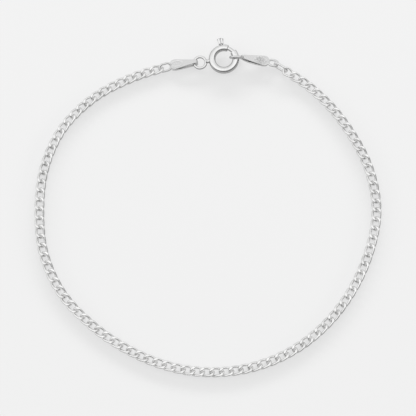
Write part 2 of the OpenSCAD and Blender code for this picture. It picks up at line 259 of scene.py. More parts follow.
class LinkSizes(bpy.types.PropertyGroup):
    """Sizes and lay of the small links between the right tab and the chain."""

    wire_d: length("Wire", "Diameter of the small links' wire", 0.4)
    play: length("Play", "Free play between two joined small links", 0.16)
    catch_wire_d: length("Catch wire", "Diameter of the catch loop's wire", 0.45)
    catch_play: length("Catch play", "Room between the catch loop and the tube", 0.14)
    round_hole_l: length("Round hole length", "Length of the round link's hole", 1.8)
    round_hole_w: length("Round hole width", "Width of the round link's hole", 1.08)
    upright_hole_l: length("Upright hole length", "Length of the upright link's hole", 2.2)
    upright_hole_w: length("Upright hole width", "Width of the upright link's hole", 0.84)
    upright_dir: angle("Upright direction", "Direction of the upright link", -31.5)
    round_dir: angle("Round direction", "Direction of the round link", -34.5)
    upright_roll: angle("Upright roll", "Roll of the upright link", 74)
    round_start: angle("Round start", "Twist of the round link at the small links' end", 12)
    round_twist: angle("Round twist", "Twist of the round link at the chain's end", -46)


class FinishColours(bpy.types.PropertyGroup):
    """Colours of the metal and the stage."""

    silver: colour("Silver", "Bright polished silver of the chain", (0.97, 0.968, 0.965))
    clasp_tone: colour("Clasp tone", "Tone of the clasp's silver", (0.9, 0.9, 0.9))
    dull_silver: colour("Dull silver", "Silver where polish has dulled", (0.80, 0.80, 0.795))
    tab_tone: colour("Tab tone", "Tone of the tabs' duller silver", (0.79, 0.79, 0.79))
    rim: colour("Rim", "Tint of silver seen edge on", (0.7, 0.7, 0.7))
    # The colour of the tarnish in the ovals, and of the painted shade on the clasp's flanks
    tarnish_and_painted_shade: colour("Tarnish", "Tarnish in the ovals and on the clasp's flanks", (0.5, 0.5, 0.5))
    floor: colour("Floor", "Pale floor", (0.15, 0.15, 0.15))
    bounce: colour("Bounce", "Share of the floor's glow that lights the silver", (0.75, 0.75, 0.75))


class StageSizes(bpy.types.PropertyGroup):
    """Camera and lights."""

    elevation: angle("Elevation", "Height of the camera's line above the floor", 74.6)
    distance: length("Distance", "From the camera to the floor", 358)
    lens: number("Lens", "Focal length in mm for a sensor 36 mm wide", 169.57)
    clip_near: length("Near clip", "Nearest that the camera sees", 10)
    aim: position("Aim", "Where the camera looks", (0, -0.575 * MM, 0))
    floor_w: length("Floor", "Side of the floor", 1600)
    floor_drop: length("Floor drop", "How far the floor lies under zero height", 0.004)
    sky: number("Sky", "Strength of the sky", 1.06)
    glow: number("Glow", "Glow of the floor", 0.636)
    key: number("Key", "Power of the back light", 36)
    key_place: position("Key place", "Place of the back light", (0, 1.1, 0.3))
    key_w: length("Key width", "Width of the back light", 1400)
    key_h: length("Key height", "Height of the back light", 160)
    side: number("Side", "Power of each side light", 9)
    side_place: position("Side place", "Place of the right side light", (1.1, 0.2, 0.26))
    side_w: length("Side width", "Width of each side light", 1000)
    side_h: length("Side height", "Height of each side light", 200)


# Lay of the small pieces

def tube_radius(clasp):
    return (clasp.ring_od - clasp.tube_d) / 2


def line_half(hole, wire):
    """Half-length or half-width of a link's centre line, from its hole."""
    return (hole + wire) / 2


def heading(turn):
    return Vector((cos(turn), sin(turn), 0))


def raised(point, z):
    return Vector((point.x, point.y, z))


class Lay:
    """Places of the pieces on the clasp's line. The spring ring's centre is the plan origin."""

    def __init__(self, scene):
        clasp, tab, link, chain = scene.clasp, scene.tabs, scene.links, scene.chain
        gate = next(j for j in frame["joints"] if j["name"] == "gate")
        self.centre = Vector(gate["pos_m"])
        axis = Vector(gate["axis"])
        self.tilt = acos(axis.z)
        self.turn = atan2(-axis.y, -axis.x) - clasp.direction
        self.direction = clasp.direction
        wire = link.wire_d
        ring_r = tube_radius(clasp)
        self.loop_r = loop_r = (clasp.loop_od - clasp.loop_wire_d) / 2
        self.loop_x = -(clasp.ring_od + clasp.loop_od) / 2 - clasp.neck_l
        self.fold_in_r = clasp.loop_wire_d / 2 + tab.fold_play
        fold_bow = loop_r - sqrt(loop_r ** 2 - (tab.fold_w / 2) ** 2)
        fold_r = loop_r - fold_bow / 2
        fold_turn = tab.fold_at - clasp.direction
        x, y = self.loop_x + fold_r * cos(fold_turn), fold_r * sin(fold_turn)
        self.fold = fold = self.clasp_point(x, y)

        self.end_b = line_half(tab.end_hole_w, wire)
        self.left_a = line_half(tab.left_hole_l, wire)
        self.right_a = line_half(tab.right_hole_l, wire)
        left_z = self.end_b * abs(sin(tab.left_end_roll)) + wire / 2
        self.left_far = tab.left_l - tab.width / 2
        left_round = raised(fold + self.left_far * heading(tab.left_dir), left_z)
        reach = tab.width / 2 + self.left_a - wire / 2
        self.left_end = left_round + reach * heading(tab.left_end_dir)
        self.left_pitch = asin((fold.z - left_z) / self.left_far)

        catch_wire = link.catch_wire_d
        self.seat_r = catch_wire / 2 - tab.solder
        self.catch_b = (clasp.tube_d + catch_wire) / 2 + link.catch_play
        self.catch_far_x = clasp.tube_d / 2 + tab.gap + tab.strip_t + self.seat_r
        self.catch_a = (self.catch_b + self.catch_far_x) / 2
        self.catch = self.clasp_point(ring_r, 0)
        self.catch_dir = (clasp.direction + tab.right_dir) / 2
        self.catch_far = self.catch + self.catch_far_x * heading(self.catch_dir)
        over_z = 1.5 * wire + link.play
        low_z = (chain.thickness + link.play) / 2
        self.right_far = tab.right_l - tab.width / 2
        right_round = raised(self.catch_far + self.right_far * heading(tab.right_dir), over_z)
        reach = tab.width / 2 + self.right_a - wire / 2
        self.right_end = right_round + reach * heading(tab.right_end_dir)
        self.right_pitch = asin((self.catch_far.z - over_z) / self.right_far)

        self.upright_a = line_half(link.upright_hole_l, wire)
        self.upright_b = line_half(link.upright_hole_w, wire)
        self.round_a = line_half(link.round_hole_l, wire)
        self.round_b = line_half(link.round_hole_w, wire)
        upright_z = self.upright_b * abs(sin(link.upright_roll)) + wire / 2
        reach = (tab.right_hole_l + link.upright_hole_l) / 2 - link.play
        self.upright = raised(self.right_end + reach * heading(link.upright_dir), upright_z)
        reach = (link.upright_hole_l + link.round_hole_l) / 2 - link.play
        self.round = raised(self.upright + reach * heading(link.round_dir), (over_z + low_z) / 2)
        self.round_pitch = asin((over_z - low_z) / (2 * self.round_a))

    def clasp_point(self, x, y):
        """Place of a point of the clasp's own plane."""
        flat = Vector((x * cos(self.tilt), y, 0))
        flat.rotate(Matrix.Rotation(self.direction, 3, "Z"))
        return raised(flat, self.centre.z + x * sin(self.tilt))

    def matrix(self, place, turn, pitch=0.0, roll=0.0):
        """From a piece's own frame to the bracelet's, in millimetres."""
        shift = Matrix.Translation((self.centre.x, self.centre.y, 0))
        whole = shift @ Matrix.Rotation(self.turn, 4, "Z") @ Matrix.Translation(place)
        whole = whole @ Matrix.Rotation(turn, 4, "Z") @ Matrix.Rotation(pitch, 4, "Y")
        whole = whole @ Matrix.Rotation(roll, 4, "X")
        whole.translation /= MM
        return whole

    def clasp_matrix(self):
        return self.matrix(Vector((0, 0, self.centre.z)), self.direction, -self.tilt)


# Meshes, made in millimetres and scaled down at the end

def skin(rings, closed=False):
    """Vertices and faces of a skin through rings of points, with ends capped or joined."""
    count, sides = len(rings), len(rings[0])
    points = [p for ring in rings for p in ring]
    faces = []
    for i in range(count if closed else count - 1):
        near, far = i * sides, (i + 1) % count * sides
        for j in range(sides):
            k = (j + 1) % sides
            faces.append((near + j, near + k, far + k, far + j))
    if not closed:
        faces.append(tuple(reversed(range(sides))))
        faces.append(tuple(range((count - 1) * sides, count * sides)))
    return points, faces


def circle_ring(centre, side, over, radius, sides):
    """A ring of points round a centre, in the plane of two unit vectors."""
    turns = [2 * pi * j / sides for j in range(sides)]
    return [centre + radius * (cos(t) * side + sin(t) * over) for t in turns]


def oval_points(a, b, count):
    """A flat oval centre line: two half rings of radius b and two straights."""
    straight, arc = 2 * (a - b), pi * b
    points = []
    for i in range(count):
        run = 2 * (straight + arc) * i / count
        end = 1
        if run >= straight + arc:
            run -= straight + arc
            end = -1
        if run < arc:
            turn = run / b - pi / 2
            points.append(end * Vector((a - b + b * cos(turn), b * sin(turn), 0)))
        else:
            points.append(end * Vector((a - b - (run - arc), b, 0)))
    return points


def wire_oval(a, b, wire, stations=72, sides=20, start=0.0, finish=0.0):
    """An oval wire loop, twisted about its length from one angle at -X to another at +X."""
    flat = oval_points(a, b, stations)
    turns = [start + (finish - start) * (p.x + a) / (2 * a) for p in flat]
    line = [Vector((p.x, p.y * cos(t), p.y * sin(t))) for p, t in zip(flat, turns)]
    rings = []
    for i, t in enumerate(turns):
        along = (line[(i + 1) % stations] - line[i - 1]).normalized()
        side = Vector((0, -sin(t), cos(t))).cross(along).normalized()
        rings.append(circle_ring(line[i], side, along.cross(side), wire / 2, sides))
    return skin(rings, closed=True)


def lathe(profile, sides=64, lobes=0, depth=0.0):
    """A solid turned about +X through points of x, radius and share of the ribs' depth."""
    rings = []
    for x, radius, share in profile:
        ring = []
        for j in range(sides):
            t = 2 * pi * j / sides
            r = radius - depth * share * (0.5 - 0.5 * cos(lobes * t)) ** RIB_POWER
            ring.append(Vector((x, r * cos(t), r * sin(t))))
        rings.append(ring)
    return skin(rings)


def arc_wire(radius, wire, start, finish, stations=64, sides=24, tip_rings=6):
    """A bent wire with round ends, in the XY plane."""
    rings = []
    end_turns = [pi / 2 * k / tip_rings for k in range(1, tip_rings + 1)]
    tips = [(-cos(t), sin(t)) for t in end_turns]
    stretch = [(start, dx, r) for dx, r in tips]
    stretch += [(start + (finish - start) * i / stations, 0.0, 1.0) for i in range(1, stations)]
    stretch += [(finish, -dx, r) for dx, r in reversed(tips)]
    for turn, dx, share in stretch:
        out = heading(turn)
        along = Vector((-out.y, out.x, 0))
        centre = radius * out + dx * wire / 2 * along
        rings.append(circle_ring(centre, out, Vector((0, 0, 1)), wire / 2 * share, sides))
    return skin(rings)


def hollow_arc(radius, outer, inner, start, finish, lip, stations=150, sides=40, lip_rings=4):
    """A bent tube with rounded open ends, in the XY plane."""
    lips = [pi / 2 * k / lip_rings for k in range(lip_rings)]
    ends = [(lip / radius * (1 - sin(t)), lip * (1 - cos(t))) for t in lips]
    stretch = [(start + back, outer - cut) for back, cut in reversed(ends)]
    stretch += [(start + (finish - start) * i / stations, outer) for i in range(2, stations - 1)]
    stretch += [(finish - back, outer - cut) for back, cut in ends]
    path = stretch + [(turn, inner) for turn, r in reversed(stretch)]
    rings = []
    for turn, r in path:
        out = heading(turn)
        rings.append(circle_ring(radius * out, out, Vector((0, 0, 1)), r, sides))
    return skin(rings, closed=True)


def slot_cutter(radius, reach, width, start, finish, stations=48):
    """A curved bar with round ends, which cuts the trigger's slot through the tube's outside."""
    rings = []
    round_turn = width / 2 / (radius + reach / 2)
    for i in range(stations + 1):
        turn = start + (finish - start) * (1 - cos(pi * i / stations)) / 2
        near = min(turn - start, finish - turn) / round_turn
        half = width / 2 * sqrt(max(1 - (1 - min(near, 1)) ** 2, SLOT_TIP))
        out = heading(turn)
        corners = ((0, -half), (reach, -half), (reach, half), (0, half))
        rings.append([(radius + r) * out + Vector((0, 0, z)) for r, z in corners])
    return skin(rings)


def tab_half_width(x, far, width, fold_w):
    """Half the width of a tab at x, from its narrow fold to its round end."""
    round_r, narrow = width / 2, fold_w / 2
    lean = atan2(narrow, far) + acos(round_r / hypot(far, narrow))
    touch_x, touch_y = far - round_r * cos(lean), round_r * sin(lean)
    if x > touch_x:
        return sqrt(max(round_r ** 2 - (x - far) ** 2, 0))
    return narrow + (touch_y - narrow) * max(x, 0) / touch_x


def tab_path(in_r, far, tip, strip, seam, end_steps=26, plate_steps=96, fold_steps=10):
    """Middle line of a folded strip, in X and Z, from the upper tip round the fold and back."""
    mid_r, low = in_r + strip / 2, (strip + seam) / 2
    reach = hypot(far, low)
    touch = atan2(low, far) + acos(mid_r / reach)
    upper = []
    for i in range(end_steps):
        turn = pi / 2 * i / end_steps
        upper.append((far + (tip - far) * cos(turn), low))
    touch_x, touch_z = mid_r * cos(touch), mid_r * sin(touch)
    for i in range(plate_steps):
        share = i / plate_steps
        upper.append((far + (touch_x - far) * share, low + (touch_z - low) * share))
    for i in range(fold_steps):
        turn = touch + (pi - touch) * i / fold_steps
        upper.append((mid_r * cos(turn), mid_r * sin(turn)))
    lower = [(x, -z) for x, z in reversed(upper)]
    return upper + [(-mid_r, 0.0)] + lower


def strip_section(half_w, half_t, edge, across=44, corner=3):
    """Outline of the strip across its length: a rectangle with round corners."""
    edge = min(edge, half_w * EDGE_SHARE_W, half_t * EDGE_SHARE_T)
    points = []
    for sy, sz in ((1, 1), (-1, 1), (-1, -1), (1, -1)):
        for k in range(corner + 1):
            turn = pi / 2 * k / corner
            c, s = cos(turn), sin(turn)
            if sy * sz < 0:
                c, s = s, c
            points.append((sy * (half_w - edge + edge * c), sz * (half_t - edge + edge * s)))
        if sy * sz > 0:
            y0 = sy * (half_w - edge)
            points += [(y0 - 2 * y0 * k / across, sz * half_t) for k in range(1, across)]
    return points


def pressed(x, y, half_l, half_w, depth, dots, pitch):
    """Depth of an oval groove pressed into a tab's upper plate, with punched dots inside it."""
    ratio = hypot(x / half_l, y / half_w)
    groove = exp(-(((ratio - 1) / GROOVE_W) ** 2))
    inside = 1 / (1 + exp((ratio - FIELD_EDGE) / FIELD_BLUR))
    dot = (cos(pi * x / pitch) * cos(pi * y / pitch)) ** 2
    return depth * (groove + FIELD_SHARE * inside) + dots * dot * inside


def folded_strip(in_r, far, tab, press_x, dots, skew, bow):
    """A strip folded round a wire, narrow at the fold and round at its far end."""
    strip, width, fold_w = tab.strip_t / MM, tab.width / MM, tab.fold_w / MM
    oval = (width * OVAL_HALF_L, width * OVAL_HALF_W, tab.press / MM, dots, tab.dot_pitch / MM)
    path = tab_path(in_r, far, far + width / 2, strip, tab.seam / MM)
    rings = []
    last = len(path) - 1
    for i, (x, z) in enumerate(path):
        before, after = path[max(i - 1, 0)], path[min(i + 1, last)]
        along = Vector((after[0] - before[0], 0, after[1] - before[1])).normalized()
        out = Vector((-along.z, 0, along.x))
        if i == 0 or i == last:
            along, out = Vector((1, 0, 0)), Vector((0, 0, -1 if i == 0 else 1))
        half = max(tab_half_width(x, far, width, fold_w), TIP_HALF_W)
        ring = []
        for y, t in strip_section(half, strip / 2, tab.edge / MM):
            point = Vector((x, y, z)) - t * out
            if t > strip * OUTER_FACE and z > 0:
                point.z -= pressed(x - press_x, y, *oval)
            if z < 0 and x > 0:
                share = min(x / far, 1)
                point.y += skew * share + bow * sin(pi * share ** BOW_LEAN)
            ring.append(point)
        rings.append(ring)
    return skin(rings)


def mesh_object(name, points, faces, matrix=None):
    """An object in the scene from points and faces, moved by a matrix."""
    mesh = bpy.data.meshes.new(name)
    mesh.from_pydata([tuple(p) for p in points], [], faces)
    mesh.validate()
    if matrix is not None:
        mesh.transform(matrix)
    work = bmesh.new()
    work.from_mesh(mesh)
    bmesh.ops.recalc_face_normals(work, faces=work.faces)
    work.to_mesh(mesh)
    work.free()
    made = bpy.data.objects.new(name, mesh)
    bpy.context.scene.collection.objects.link(made)
    return made


def combine(base, other, operation):
    """Joins another closed mesh to the first, or cuts it away, and removes the other."""
    change = base.modifiers.new("combine", "BOOLEAN")
    change.operation = operation
    change.solver = "EXACT"
    change.object = other
    shown = bpy.context.evaluated_depsgraph_get()
    mesh = bpy.data.meshes.new_from_object(base.evaluated_get(shown))
    base.modifiers.clear()
    spare = (base.data, other.data)
    base.data = mesh
    bpy.data.objects.remove(other)
    for old in spare:
        bpy.data.meshes.remove(old)
    if not mesh.polygons:
        raise RuntimeError(f"{base.name}: the {operation.lower()} left nothing")


def solder(piece, name, shape, matrix):
    """Joins a shape's points and faces, moved by a matrix, to a piece."""
    combine(piece, mesh_object(name, *shape, matrix), "UNION")


def finish_piece(piece, material, body, node):
    """Scales a piece to metres, shades it smooth up to its edges and hands it to its body."""
    mesh = piece.data
    mesh.transform(Matrix.Scale(MM, 4))
    mesh.shade_smooth()
    mesh.set_sharp_from_angle(angle=SHARP_EDGE)
    mesh.materials.clear()
    mesh.materials.append(material)
    mesh.update()
    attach(piece, body)
    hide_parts(node)


# Materials

class Value:
    """A number that varies over a surface, with the usual arithmetic."""

    def __init__(self, tree, socket):
        self.tree, self.socket = tree, socket

    def maths(self, operation, *others):
        inputs = dict(enumerate((self, *others)))
        return self.tree.node("ShaderNodeMath", {"operation": operation}, inputs)

    def __add__(self, other):
        return self.maths("ADD", other)

    __radd__ = __add__

    def __mul__(self, other):
        return self.maths("MULTIPLY", other)

    def __sub__(self, other):
        return self.maths("SUBTRACT", other)

    def __rsub__(self, other):
        return (self * -1.0) + other

    def size(self):
        return self.maths("ABSOLUTE")

    def step(self, low, high):
        """0 below low and 1 above high, smooth between."""
        settings = {"interpolation_type": "SMOOTHSTEP"}
        values = {"Value": self, "From Min": low, "From Max": high}
        return self.tree.node("ShaderNodeMapRange", settings, values)


class Tree:
    """A node tree, with short ways to add nodes."""

    def __init__(self, tree):
        self.tree = tree
        tree.nodes.clear()

    def node(self, kind, settings=None, inputs=None, output=0):
        """Adds a node: its settings first, then its sockets' values or links."""
        made = self.tree.nodes.new(kind)
        for name, value in (settings or {}).items():
            setattr(made, name, value)
        for key, value in (inputs or {}).items():
            socket = made.inputs[key]
            if isinstance(value, Value):
                self.tree.links.new(value.socket, socket)
            else:
                socket.default_value = value
        return Value(self, made.outputs[output]) if made.outputs else None

    def noise(self, coordinates, scale, detail=2.0, roughness=0.5):
        values = {"Vector": coordinates, "Scale": scale, "Detail": detail, "Roughness": roughness}
        return self.node("ShaderNodeTexNoise", {}, values)

    def parts(self, vector):
        made = self.tree.nodes.new("ShaderNodeSeparateXYZ")
        self.tree.links.new(vector.socket, made.inputs[0])
        return [Value(self, made.outputs[i]) for i in range(3)]

    def blend(self, factor, first, second):
        colours = {0: factor, 6: first, 7: second}
        return self.node("ShaderNodeMix", {"data_type": "RGBA"}, colours, output=2)


def facing_up(tree):
    """How far a surface faces up in its piece's own frame, from -1 to 1."""
    return tree.parts(tree.node("ShaderNodeTexCoord", output="Normal"))[2]


def tarnish_spots(tree, place, centre):
    """Mottled tarnish round a centre, which fades away from it."""
    ends = {0: place, 1: centre}
    apart = tree.node("ShaderNodeVectorMath", {"operation": "DISTANCE"}, ends, output=1)
    return (1.0 - apart.step(*TARNISH_REACH)) * tree.noise(place, TARNISH_SCALE).step(*TARNISH_RANGE)


def silver(name, colours, bright, rough, dulling, filed=False, spots=None, flanks=0.0):
    """Silver with hairlines and dull patches, and filed flats, tarnish spots or painted shade on the
    flanks if asked for.

    The patches add the dulling to how rough it is. Spots are a centre and a share. Flanks is the
    share of painted shade where a surface faces sideways or down.
    """
    material = bpy.data.materials.new(name)
    material.use_nodes = True
    tree = Tree(material.node_tree)
    place = tree.node("ShaderNodeTexCoord", output="Object")
    dull, tarnish_and_painted_shade = (*colours.dull_silver, 1), (*colours.tarnish_and_painted_shade, 1)
    patches = tree.noise(place, PATCH_SCALE, detail=3.0).step(*PATCH_RANGE)
    grain = tree.noise(place, GRAIN_SCALE, detail=3.0, roughness=0.6)
    directions = {0: place, 1: HAIRLINE_STRETCH}
    stretch = tree.node("ShaderNodeVectorMath", {"operation": "MULTIPLY"}, directions)
    hairlines = tree.noise(stretch, HAIRLINE_SCALE)
    roughness = rough + patches * dulling + (grain - 0.5) * GRAIN_ROUGHNESS
    height = grain * GRAIN_HEIGHT + hairlines * HAIRLINE_HEIGHT
    if filed:
        flat = facing_up(tree).size().step(*FILED_RANGE)
        roughness = roughness + flat * FILED_ROUGHNESS
        height = height + flat * tree.noise(stretch, FILED_SCALE, detail=1.0) * FILED_HEIGHT
    tone = tree.blend(patches * PATCH_TONE + grain * GRAIN_TONE, (*bright, 1), dull)
    # Painted shade: the tone darkens where a surface faces sideways or down, away from the light
    # above
    if flanks:
        tone = tree.blend((1.0 - facing_up(tree).step(*FLANK_RANGE)) * flanks, tone, tarnish_and_painted_shade)
    if spots:
        centre, share = spots
        tone = tree.blend(tarnish_spots(tree, place, centre) * share, tone, tarnish_and_painted_shade)
    bump = {"Strength": RELIEF_STRENGTH, "Distance": RELIEF_DEPTH, "Height": height}
    values = {
        "Base Color": tone,
        "Metallic": 1.0,
        "Roughness": roughness,
        "Normal": tree.node("ShaderNodeBump", {}, bump),
        "Specular Tint": (*colours.rim, 1),
    }
    surface = tree.node("ShaderNodeBsdfPrincipled", {}, values)
    tree.node("ShaderNodeOutputMaterial", {}, {"Surface": surface})
    return material


def chain_silver(colours):
    return silver("chain silver", colours, colours.silver, rough=0.16, dulling=0.1, filed=True)


def clasp_silver(colours):
    tone = colours.clasp_tone
    # The clasp's side walls and underside get painted shade
    return silver("clasp silver", colours, tone, rough=0.13, dulling=0.08, flanks=0.8)


def tab_silver(name, colours, centre, share):
    tone = colours.tab_tone
    return silver(name, colours, tone, rough=0.2, dulling=0.12, spots=(centre, share))


def link_silver(colours):
    return silver("link silver", colours, colours.silver, rough=0.15, dulling=0.1)


def floor_panel(colours, glow):
    """A pale glowing panel, whose own light shows more to the camera than in the silver."""
    material = bpy.data.materials.new("floor panel")
    material.use_nodes = True
    tree = Tree(material.node_tree)
    seen = tree.node("ShaderNodeLightPath", output="Is Camera Ray")
    values = {
        "Base Color": (*colours.floor, 1),
        "Roughness": 0.9,
        "Specular IOR Level": 0.0,
        "Emission Color": tree.blend(seen, (*colours.bounce, 1), (1, 1, 1, 1)),
        "Emission Strength": glow,
    }
    surface = tree.node("ShaderNodeBsdfPrincipled", {}, values)
    tree.node("ShaderNodeOutputMaterial", {}, {"Surface": surface})
    return material


# Chain

def link_places(node):
    """Place and direction of each link of a chain node, in millimetres, from its loose solids."""
    shell = bmesh.new()
    shell.from_mesh(frame["nodes"][node].data)
    bmesh.ops.remove_doubles(shell, verts=shell.verts, dist=WELD)
    shell.verts.ensure_lookup_table()
    seen = [False] * len(shell.verts)
    places = []
    for first in range(len(shell.verts)):
        if seen[first]:
            continue
        seen[first] = True
        group, edge = [], [shell.verts[first]]
        while edge:
            vert = edge.pop()
            group.append(tuple(vert.co))
            for line in vert.link_edges:
                other = line.other_vert(vert)
                if not seen[other.index]:
                    seen[other.index] = True
                    edge.append(other)
        points = np.array(group) / MM
        middle = points.mean(0)
        x, y = (points - middle).T[:2]
        turn = 0.5 * atan2(2 * (x * y).sum(), (x * x).sum() - (y * y).sum())
        places.append((Vector(middle), turn))
    shell.free()
    return places


def curb_link(chain):
    """Points and faces of one curb link, its top and bottom filed flat with a worn edge."""
    a = (chain.pitch + chain.wire_d + chain.play) / 2 / MM
    b = line_half(chain.hole_w, chain.wire_d) / MM
    points, faces = wire_oval(
        a, b, chain.wire_d / MM, chain.stations, chain.sides, chain.twist, -chain.twist
    )
    mesh = bpy.data.meshes.new("link")
    mesh.from_pydata([tuple(p) for p in points], [], faces)
    work = bmesh.new()
    work.from_mesh(mesh)
    cut_edges = []
    for side in (1, -1):
        level = Vector((0, 0, side * chain.thickness / 2 / MM))
        everything = work.verts[:] + work.edges[:] + work.faces[:]
        cut = bmesh.ops.bisect_plane(
            work, geom=everything, plane_co=level, plane_no=(0, 0, side), clear_outer=True
        )
        lines = [g for g in cut["geom_cut"] if isinstance(g, bmesh.types.BMEdge)]
        bmesh.ops.holes_fill(work, edges=lines, sides=0)
        cut_edges += lines
    bmesh.ops.bevel(
        work, geom=cut_edges, offset=chain.edge / MM, segments=2, affect="EDGES", clamp_overlap=True
    )
    bmesh.ops.recalc_face_normals(work, faces=work.faces)
    bmesh.ops.triangulate(work, faces=[f for f in work.faces if len(f.verts) > 4])
    work.verts.index_update()
    points = np.array([v.co[:] for v in work.verts])
    faces = [tuple(v.index for v in f.verts) for f in work.faces]
    work.free()
    bpy.data.meshes.remove(mesh)
    return points, faces


class BuildChain(bpy.types.Operator):
    """Builds the two halves of the curb chain, link by link."""

    bl_idname = "bracelet.build_chain"
    bl_label = "Curb chain"

    def execute(self, context):
        material = chain_silver(context.scene.colours)
        points, faces = curb_link(context.scene.chain)
        for node in ("chain_right", "chain_left"):
            verts, polygons = [], []
            for middle, turn in link_places(node):
                c, s = cos(turn), sin(turn)
                spin = np.array([[c, -s, 0], [s, c, 0], [0, 0, 1]])
                shift = len(polygons) // len(faces) * len(points)
                verts.append(points @ spin.T + np.array(middle))
                polygons += [tuple(i + shift for i in face) for face in faces]
            piece = mesh_object(node + "_links", np.concatenate(verts).tolist(), polygons)
            finish_piece(piece, material, ROOT_BODY, node)
        return {"FINISHED"}


class BuildSpringRing(bpy.types.Operator):
    """Builds the spring ring's slotted tube with its soldered loop."""

    bl_idname = "bracelet.build_spring_ring"
    bl_label = "Spring ring"

    def execute(self, context):
        scene = context.scene
        clasp, lay = scene.clasp, Lay(scene)
        ring_r, tube_r = tube_radius(clasp) / MM, clasp.tube_d / 2 / MM
        bore_r = tube_r - clasp.tube_wall / MM
        start = clasp.mouth_at + clasp.mouth_angle
        finish = clasp.mouth_at + 2 * pi
        matrix = lay.clasp_matrix()
        tube = hollow_arc(ring_r, tube_r, bore_r, start, finish, clasp.lip / MM)
        piece = mesh_object("spring_ring_body", *tube, matrix)

        slot_w = (clasp.stem_d + 2 * clasp.slot_play) / MM
        margin = asin(slot_w / (2 * (ring_r + bore_r)))
        slot_end = clasp.knob_at + clasp.gate_travel + margin
        cut = slot_cutter(ring_r, 2 * tube_r, slot_w, clasp.knob_at - margin, slot_end)
        combine(piece, mesh_object("slot", *cut, matrix), "DIFFERENCE")

        loop_wire = clasp.loop_wire_d / MM
        loop = wire_oval(lay.loop_r / MM, lay.loop_r / MM, loop_wire, stations=96, sides=28)
        solder(piece, "loop", loop, matrix @ Matrix.Translation((lay.loop_x / MM, 0, 0)))

        near = -(ring_r + bore_r + clasp.neck_stop / MM)
        far = -(clasp.ring_od / 2 + clasp.neck_l) / MM - loop_wire * NECK_REACH
        neck_r, swell = clasp.neck_d / 2 / MM, clasp.fillet / MM
        steps = 16
        profile = []
        for i in range(steps + 1):
            share = i / steps
            flare = swell * (2 * share - 1) ** 2
            profile.append((far + (near - far) * share, neck_r + flare, 0))
        solder(piece, "neck", lathe(profile, sides=40), matrix)
        finish_piece(piece, clasp_silver(scene.colours), ROOT_BODY, "spring_ring")
        return {"FINISHED"}


class BuildTrigger(bpy.types.Operator):
    """Builds the gate wire with its stem and ribbed knob."""

    bl_idname = "bracelet.build_trigger"
    bl_label = "Trigger"

    def execute(self, context):
        scene = context.scene
        clasp, lay = scene.clasp, Lay(scene)
        matrix = lay.clasp_matrix()
        ring_r = tube_radius(clasp) / MM
        gate_d = (clasp.tube_d - 2 * clasp.tube_wall - 2 * clasp.gate_play) / MM
        tip = gate_d / 2 / ring_r
        start = clasp.mouth_at - clasp.gate_grip + tip
        finish = clasp.knob_at + clasp.gate_tail - tip
        gate = arc_wire(ring_r, gate_d, start, finish)
        piece = mesh_object("trigger_gate", *gate, matrix)
        knob_matrix = matrix @ Matrix.Rotation(clasp.knob_at, 4, "Z")
        root = (clasp.ring_od / 2 + clasp.knob_gap) / MM
        stem_r = clasp.stem_d / 2 / MM
        stem = [(ring_r, stem_r, 0), (root + clasp.stem_reach / MM, stem_r, 0)]
        solder(piece, "stem", lathe(stem, sides=32), knob_matrix)
        root_r, end_r, knob_l = clasp.knob_root_d / 2 / MM, clasp.knob_d / 2 / MM, clasp.knob_l / MM
        profile = [(x, root_r * share, ribs) for x, share, ribs in KNOB_ROOT]
        flank, flank_l = KNOB_ROOT[-1][0], knob_l - FLANK_SHORT
        steps = 14
        for i in range(1, steps):
            share = i / steps
            radius = root_r + (end_r - root_r) * share ** KNOB_FLARE
            profile.append((flank + flank_l * share, radius, 1))
        profile += [(knob_l - x, end_r * share, ribs) for x, share, ribs in KNOB_END]
        profile = [(root + x, r, ribs) for x, r, ribs in profile]
        knob = lathe(profile, sides=108, lobes=clasp.knob_ribs, depth=clasp.rib_depth / MM)
        solder(piece, "knob", knob, knob_matrix)
        finish_piece(piece, clasp_silver(scene.colours), GATE_BODY, "trigger")
        return {"FINISHED"}


def tab_plate(side, scene, matrix, in_r, far, press, dots, share, skew=0.0, bow=0.0):
    """A tab's folded plate and its silver, with a share of tarnish in the pressed oval."""
    press_x = (far - press) / MM
    skew, bow = skew / MM, bow / MM
    strip = folded_strip(in_r / MM, far / MM, scene.tabs, press_x, dots / MM, skew, bow)
    centre = matrix @ Vector((press_x, 0, 0)) * MM
    material = tab_silver(f"{side} tab silver", scene.colours, centre, share)
    return mesh_object(f"{side}_tab_plate", *strip, matrix), material


class BuildTabs(bpy.types.Operator):
    """Builds the two folded tabs, with their end links and the catch loop."""

    bl_idname = "bracelet.build_tabs"
    bl_label = "Tabs"

    def execute(self, context):
        scene = context.scene
        tab, link, lay = scene.tabs, scene.links, Lay(scene)
        wire, end_b = link.wire_d / MM, lay.end_b / MM

        matrix = lay.matrix(lay.fold, tab.left_dir, lay.left_pitch, tab.left_roll)
        sizes = (lay.fold_in_r, lay.left_far, tab.left_press, tab.left_dots, tab.left_tarnish)
        piece, material = tab_plate("left", scene, matrix, *sizes, skew=tab.skew)
        matrix = lay.matrix(lay.left_end, tab.left_end_dir, roll=tab.left_end_roll)
        solder(piece, "end", wire_oval(lay.left_a / MM, end_b, wire), matrix)
        finish_piece(piece, material, ROOT_BODY, "left_tab")

        matrix = lay.matrix(lay.catch_far, tab.right_dir, lay.right_pitch, tab.right_roll)
        sizes = (lay.seat_r, lay.right_far, tab.right_press, tab.right_dots, tab.right_tarnish)
        piece, material = tab_plate("right", scene, matrix, *sizes, bow=-tab.bow)
        matrix = lay.matrix(lay.right_end, tab.right_end_dir, roll=tab.right_end_roll)
        solder(piece, "end", wire_oval(lay.right_a / MM, end_b, wire), matrix)
        catch_wire = link.catch_wire_d / MM
        catch = wire_oval(lay.catch_a / MM, lay.catch_b / MM, catch_wire, stations=88, sides=24)
        matrix = lay.matrix(lay.catch, lay.catch_dir, roll=tab.catch_roll)
        matrix = matrix @ Matrix.Translation(((lay.catch_far_x - lay.catch_a) / MM, 0, 0))
        solder(piece, "catch", catch, matrix)
        finish_piece(piece, material, ROOT_BODY, "right_tab")
        return {"FINISHED"}


